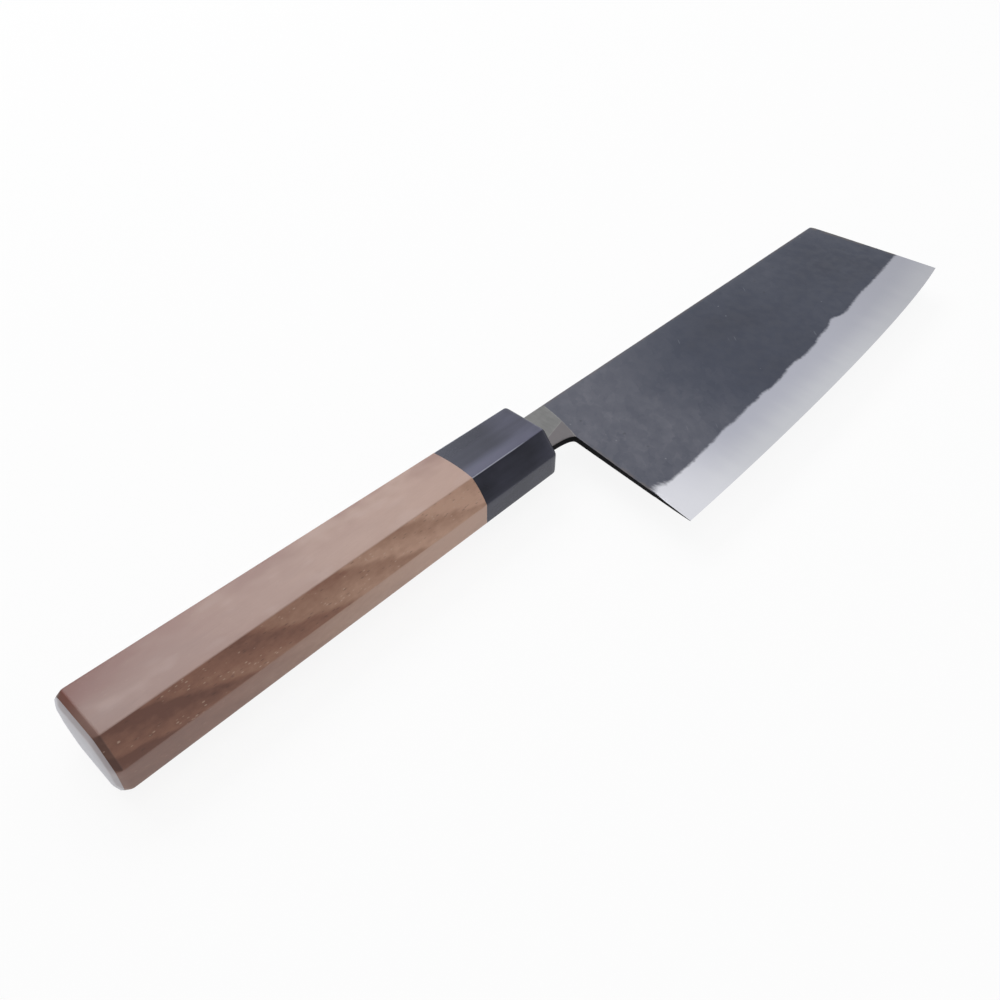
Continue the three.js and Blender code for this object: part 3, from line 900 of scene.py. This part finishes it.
def ground_colour(steel):
    """Ground steel: bluish iron at the bevel's top, paler hard steel by the edge, soft cross-bands, a
    painted highlight towards the heel and painted shade towards the tip.
    """
    from_edge = steel.attribute("from_edge")
    bands = steel.noise((5, 40, 40), detail=2.0, seed=10.0)
    band_tone = steel.span(bands, 0.3, 0.7, -0.8, 0.8)
    depth = steel.span(steel.math("ADD", from_edge, band_tone), 0.0, 12.0)
    colour = steel.mix(depth, shade(197, 198, 202), shade(176, 177, 187))
    # Painted light along the blade: a painted highlight towards the heel, then painted shade towards the
    # tip.
    colour = steel.mix(steel.span(steel.x, 45, 8, 0.0, 0.8), colour, shade(221, 221, 226))
    colour = steel.mix(steel.span(steel.x, 90, 150, 0.0, 0.35), colour, shade(158, 159, 168))
    worn_corner = steel.math("MULTIPLY", steel.attribute("heel"), steel.span(from_edge, 3, 13, 3.0, 1.0))
    return steel.mix(steel.span(worn_corner, HEEL_RIM * 1.3, HEEL_RIM * 0.7), colour, shade(24, 24, 26))


def grinding(steel):
    """Fine lines that the grinding leaves across the bevel."""
    return steel.noise((0.12, 9, 9), detail=2.0, seed=11.0)


NECK_METAL = 0.6
NECK_ROUGHNESS = 0.45
STEEL_ROUGHNESS = 0.3
GRINDING_DEPTH = 0.003


def neck_colour(iron):
    """Ground iron of the neck, greyer at the spine and warmer under a faint line, with a pale border."""
    above = iron.total((1.0, iron.y), (-0.25, iron.x), (5.1, 1.0))
    streaks = iron.noise((0.7, 5, 5), detail=3.0, seed=14.0)
    stains = iron.noise((3, 3, 3), detail=3.0, seed=19.0)
    grain = iron.total((0.4, streaks), (0.6, stains))
    tone = iron.ramp(grain, [(0.35, shade(107, 107, 106)), (0.65, shade(122, 122, 121))])
    tone = iron.mix(iron.span(above, 0.4, -0.4, 0.0, 0.8), tone, shade(105, 100, 102))
    on_line = iron.span(iron.math("ABSOLUTE", above), 0.25, 0.0, 0.0, 0.4)
    on_border = iron.span(iron.attribute("patch"), 0.35, 0.1, 0.0, 0.4)
    pale = iron.math("MULTIPLY", iron.math("MAXIMUM", on_line, on_border), iron.span(stains, 0.3, 0.6))
    return iron.mix(pale, tone, shade(156, 154, 152))


def forged_face():
    """Scale with the ground bevel along the edge and the ground neck behind the weld."""
    face = Finish("forged_face")
    scale, mottle = scale_colour(face)
    ragged = face.swing((1.1, 1.1, 1.1), detail=4.0, seed=12.0)
    wisps = face.swing((0.5, 2.2, 2.2), detail=3.0, seed=13.0)
    at_heel = face.span(face.x, 16, 10)
    ragged_bevel = face.total(
        (1.0, face.attribute("bevel")),
        (1.2, ragged),
        (3.0, face.math("MULTIPLY", at_heel, wisps)),
    )
    softness = face.blend(at_heel, 0.6, 1.5)
    ground = face.span(face.math("DIVIDE", ragged_bevel, softness), -1.0, 1.0)
    patch = face.span(face.total((1.0, face.attribute("patch")), (0.5, ragged)), -0.1, 0.1)
    colour = face.mix(ground, scale, ground_colour(face))
    colour = face.mix(patch, colour, neck_colour(face))
    bare = face.math("MAXIMUM", ground, patch)
    rough_scale = face.span(mottle, 0.3, 0.7, 0.42, 0.55)
    roughness = face.blend(patch, face.blend(ground, rough_scale, STEEL_ROUGHNESS), NECK_ROUGHNESS)
    metal = face.blend(patch, ground, NECK_METAL)
    face.set(Base_Color=colour, Metallic=metal, Roughness=roughness, Specular_IOR_Level=0.42)
    relief = face.blend(bare, face.math("MULTIPLY", mottle, 6.0), grinding(face))
    face.bump(relief, GRINDING_DEPTH)
    return face.material


def ground_iron():
    """The neck's bare iron, with scale in front of the patch."""
    iron = Finish("ground_iron")
    scale, _ = scale_colour(iron)
    patch = iron.span(iron.attribute("patch"), -0.1, 0.1)
    iron.set(
        Base_Color=iron.mix(patch, scale, neck_colour(iron)),
        Metallic=iron.math("MULTIPLY", patch, NECK_METAL),
        Roughness=NECK_ROUGHNESS,
    )
    iron.bump(grinding(iron), GRINDING_DEPTH)
    return iron.material


def hard_steel():
    """The core's ground steel."""
    steel = Finish("hard_steel")
    steel.set(Base_Color=ground_colour(steel), Metallic=1.0, Roughness=STEEL_ROUGHNESS)
    steel.bump(grinding(steel), GRINDING_DEPTH)
    return steel.material


def black_wall():
    """Matt black on the heel's end and the choil: forge scale, which is also painted shade where these
    walls lie in shadow.
    """
    wall = Finish("black_wall")
    mottle = wall.noise((1.5, 1.5, 1.5), detail=3.0, seed=15.0)
    wall.set(
        Base_Color=wall.ramp(mottle, [(0.3, shade(16, 16, 18)), (0.7, shade(30, 30, 32))]),
        Roughness=0.75,
        Specular_IOR_Level=0.1,
    )
    wall.bump(mottle, 0.02)
    return wall.material


def dowel_wood():
    """Raw pale wood."""
    wood = Finish("dowel_wood")
    fibres = wood.noise((20, 0.5, 0.5), detail=3.0, seed=16.0)
    wood.set(
        Base_Color=wood.ramp(fibres, [(0.3, shade(180, 150, 110)), (0.7, shade(212, 186, 146))]),
        Roughness=0.7,
    )
    wood.bump(fibres, 0.02)
    return wood.material


def resin():
    """Cast resin with faint clouds."""
    cast = Finish("resin")
    clouds = cast.noise((4, 4, 4), detail=3.0, seed=17.0)
    cast.set(
        Base_Color=cast.ramp(clouds, [(0.3, shade(60, 54, 44)), (0.7, shade(84, 76, 60))]),
        Roughness=cast.span(clouds, 0.3, 0.7, 0.3, 0.45),
    )
    cast.bump(clouds, 0.03)
    return cast.material


# Stage, in metres

FLOOR_DROP = 0.1 * MM
FLOOR_MIDDLE = 0.01
FLOOR_RADIUS = 2.4
FLOOR_SIDES = 96
FLOOR_GREY = (0.9, 0.9, 0.9, 1.0)
FLOOR_GLOW = 0.9  # share of plain white in what the camera and reflections see
SWEEP_RADIUS = 1.0
SWEEP_TURN = math.radians(60)
SWEEP_STEPS = 8
WALL_HEIGHT = 1.2
WALL_WHITE = 0.94  # the far floor's brightness
WHITE = (1.0, 1.0, 1.0, 1.0)
COOL_TINT = (0.97, 0.98, 1.0)
WORLD_STRENGTH = 0.35

# The photograph's camera, in knife millimetres and from the knife's axes
CAMERA_PLACE = Vector((-148.34, -128.69, 163.66))
CAMERA_HEADING = math.radians(42.955)
CAMERA_PITCH = math.radians(-43.411)
CAMERA_ROLL = math.radians(0.512)
CAMERA_LENS = 33.22
CAMERA_SENSOR = 36.0
CAMERA_NEAREST = 0.01


def backdrop_material(name, beneath, colour, share, strength):
    """White for the camera and for reflections, to a share. Other rays meet the shader beneath."""
    backdrop = bpy.data.materials.new(name)
    backdrop.use_nodes = True
    nodes, links = backdrop.node_tree.nodes, backdrop.node_tree.links
    nodes.clear()
    path = nodes.new("ShaderNodeLightPath")
    seen = path.outputs["Is Camera Ray"]
    for kind in ("Is Glossy Ray", "Is Transmission Ray"):
        either = nodes.new("ShaderNodeMath")
        either.operation = "MAXIMUM"
        links.new(seen, either.inputs[0])
        links.new(path.outputs[kind], either.inputs[1])
        seen = either.outputs[0]
    glow_share = nodes.new("ShaderNodeMath")
    glow_share.operation = "MULTIPLY"
    links.new(seen, glow_share.inputs[0])
    glow_share.inputs[1].default_value = share
    glow = nodes.new("ShaderNodeEmission")
    glow.inputs["Strength"].default_value = strength
    plain = nodes.new(beneath)
    plain.inputs["Color"].default_value = colour
    both = nodes.new("ShaderNodeMixShader")
    links.new(glow_share.outputs[0], both.inputs[0])
    links.new(plain.outputs[0], both.inputs[1])
    links.new(glow.outputs[0], both.inputs[2])
    links.new(both.outputs[0], nodes.new("ShaderNodeOutputMaterial").inputs["Surface"])
    return backdrop


def floor():
    """A round paper floor that sweeps up far behind the knife, to a wall that lets the light through."""
    profile = [(FLOOR_MIDDLE, 0.0), (FLOOR_RADIUS, 0.0)]
    for angle in np.linspace(0, SWEEP_TURN, SWEEP_STEPS + 1)[1:]:
        profile.append(
            (FLOOR_RADIUS + SWEEP_RADIUS * math.sin(angle), SWEEP_RADIUS * (1 - math.cos(angle)))
        )
    profile.append((profile[-1][0], WALL_HEIGHT))
    paper = bmesh.new()
    turns = np.linspace(0, 2 * math.pi, FLOOR_SIDES + 1)[:-1]
    rows = [
        [paper.verts.new((r * math.cos(a), r * math.sin(a), z - FLOOR_DROP)) for a in turns]
        for r, z in profile
    ]
    paper.faces.new(rows[0])
    for row, follower in zip(rows, rows[1:]):
        for k in range(len(row)):
            face = paper.faces.new((row[k - 1], follower[k - 1], follower[k], row[k]))
            face.material_index = 1 if follower is rows[-1] else 0
    mesh = bpy.data.meshes.new("floor")
    paper.to_mesh(mesh)
    paper.free()
    mesh.shade_smooth()
    paper_white = backdrop_material("white_floor", "ShaderNodeBsdfDiffuse", FLOOR_GREY, FLOOR_GLOW, 1.0)
    wall_white = backdrop_material("white_wall", "ShaderNodeBsdfTransparent", WHITE, 1.0, WALL_WHITE)
    mesh.materials.append(paper_white)
    mesh.materials.append(wall_white)
    sheet = bpy.data.objects.new("floor", mesh)
    bpy.context.collection.objects.link(sheet)


def softbox(name, azimuth, elevation, distance, width, height, radiance, tint=(1.0, 1.0, 1.0)):
    """A rectangular lamp that faces the knife, its direction in degrees from +X and above the floor."""
    lamp = bpy.data.lights.new(name, "AREA")
    lamp.shape = "RECTANGLE"
    lamp.size = width
    lamp.size_y = height
    lamp.energy = radiance * math.pi * width * height
    lamp.color = tint
    box = bpy.data.objects.new(name, lamp)
    bpy.context.collection.objects.link(box)
    turn, rise = math.radians(azimuth), math.radians(elevation)
    outward = Vector((math.cos(rise) * math.cos(turn), math.cos(rise) * math.sin(turn), math.sin(rise)))
    box.location = outward * distance
    box.rotation_euler = outward.to_track_quat("Z", "Y").to_euler()


def lights():
    """A strong lamp behind the spine, a dim panel beyond the tip, one lamp above and white all round."""
    softbox(
        "back_light",
        azimuth=84,
        elevation=49,
        distance=1.3,
        width=1.1,
        height=0.6,
        radiance=3.5,
        tint=COOL_TINT,
    )
    softbox(
        "front_panel",
        azimuth=28,
        elevation=43,
        distance=1.5,
        width=1.3,
        height=1.05,
        radiance=0.68,
        tint=COOL_TINT,
    )
    softbox("top_light", azimuth=225, elevation=82, distance=1.5, width=1.1, height=1.1, radiance=1.3)
    world = bpy.data.worlds.new("studio")
    world.use_nodes = True
    background = world.node_tree.nodes["Background"]
    background.inputs["Color"].default_value = WHITE
    background.inputs["Strength"].default_value = WORLD_STRENGTH
    bpy.context.scene.world = world


def camera():
    """The photograph's view."""
    data = bpy.data.cameras.new("camera")
    data.lens = CAMERA_LENS
    data.sensor_width = CAMERA_SENSOR
    data.clip_start = CAMERA_NEAREST
    eye = bpy.data.objects.new("camera", data)
    bpy.context.collection.objects.link(eye)
    turn = Euler((math.pi / 2 + CAMERA_PITCH, 0, CAMERA_HEADING - math.pi / 2), "XYZ").to_matrix()
    turn = turn @ Matrix.Rotation(CAMERA_ROLL, 3, "Z")
    eye.matrix_world = Matrix.Translation(FROM_MM @ CAMERA_PLACE) @ turn.to_4x4()
    bpy.context.scene.camera = eye


# The knife

black = black_wall()
face = forged_face()
side_grain = walnut("walnut", Coat_Weight=0.6, Coat_Roughness=0.38)
# The butt's rim chamfer is matt, with a painted sheen of grey-brown over it.
sanded_rim_painted_sheen = walnut("sanded_rim_painted_sheen", painted_reflection=(shade(112, 94, 90), 0.35), Specular_IOR_Level=0.22)
# The end face is greyed towards blue by a painted reflection of the white floor, besides its coat and
# sheen.
end_grain_painted_reflection = walnut(
    "end_grain_painted_reflection",
    painted_reflection=(shade(162, 157, 164), 0.6),
    cut_rings=0.5,
    Coat_Weight=0.7,
    Coat_Roughness=0.3,
    Coat_IOR=1.6,
    Sheen_Weight=0.3,
    Sheen_Roughness=0.3,
    Sheen_Tint=(0.72, 0.82, 1.0, 1.0),
)
handle_wood([side_grain, sanded_rim_painted_sheen, end_grain_painted_reflection])
ferrule([horn()])
neck([ground_iron(), black])
cladding("upper_face", "upper_cladding", 1, [face, black])
cladding("lower_face", "lower_cladding", -1, [face, black])
core([hard_steel(), black])
cast = resin()
for node, material in (("handle_dowel", dowel_wood()), ("tang_bedding", cast), ("ferrule_seal", cast)):
    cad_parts[node].data.materials.clear()
    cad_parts[node].data.materials.append(material)

floor()
lights()
camera()
bpy.context.scene.view_settings.view_transform = "Standard"
